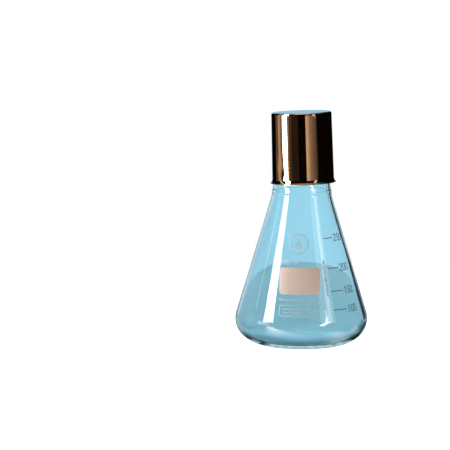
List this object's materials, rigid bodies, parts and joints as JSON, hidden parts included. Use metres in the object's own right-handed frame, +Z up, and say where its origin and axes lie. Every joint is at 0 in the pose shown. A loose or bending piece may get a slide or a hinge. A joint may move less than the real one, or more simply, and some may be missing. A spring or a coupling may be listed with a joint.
{
  "type": "erlenmeyer culture flask",
  "caption": "Conical glass culture flask with a straight neck, graduations and a writing field, closed by a loose slip-on metal cap that pulls straight off.",
  "frame": {"origin": "centre of the base, on the surface that the flask stands on", "axes": "+Z up along the neck's axis, the printed side faces -Y, +X to the right of the prints"},
  "size_m": [0.085, 0.085, 0.1494],
  "materials": {
    "glass": "clear fire-polished borosilicate glass, seen pale blue against its backdrop",
    "cap_metal": "mirror-bright deep-drawn sheet metal with a warm copper-brown reflection",
    "insert_metal": "plain rolled stainless sheet",
    "enamel_field": "fired cream-white ceramic enamel, satin",
    "enamel_white": "fired white ceramic enamel, thin and slightly see-through at its edges",
    "enamel_grey": "fired ceramic enamel that reads grey against the bright backdrop"
  },
  "bodies": {
    "flask": {"flask_glass": "glass", "writing_field": "enamel_field", "emblem": "enamel_white", "info_line": "enamel_white", "info_frame": "enamel_white", "info_bars": "enamel_white", "side_mark": "enamel_white", "tick_100": "enamel_grey", "tick_150": "enamel_grey", "tick_200": "enamel_grey", "tick_250": "enamel_grey", "numeral_100": "enamel_grey", "numeral_150": "enamel_grey", "numeral_200": "enamel_grey", "numeral_250": "enamel_grey", "capacity_mark": "enamel_white"},
    "cap": {"cap_shell": "cap_metal", "cap_insert": "insert_metal"}
  },
  "joints": [
    {"name": "cap_lift", "type": "slide", "parent": "flask", "child": "cap", "axis": [0, 0, 1], "range_m": [0, 0.09]}
  ]
}
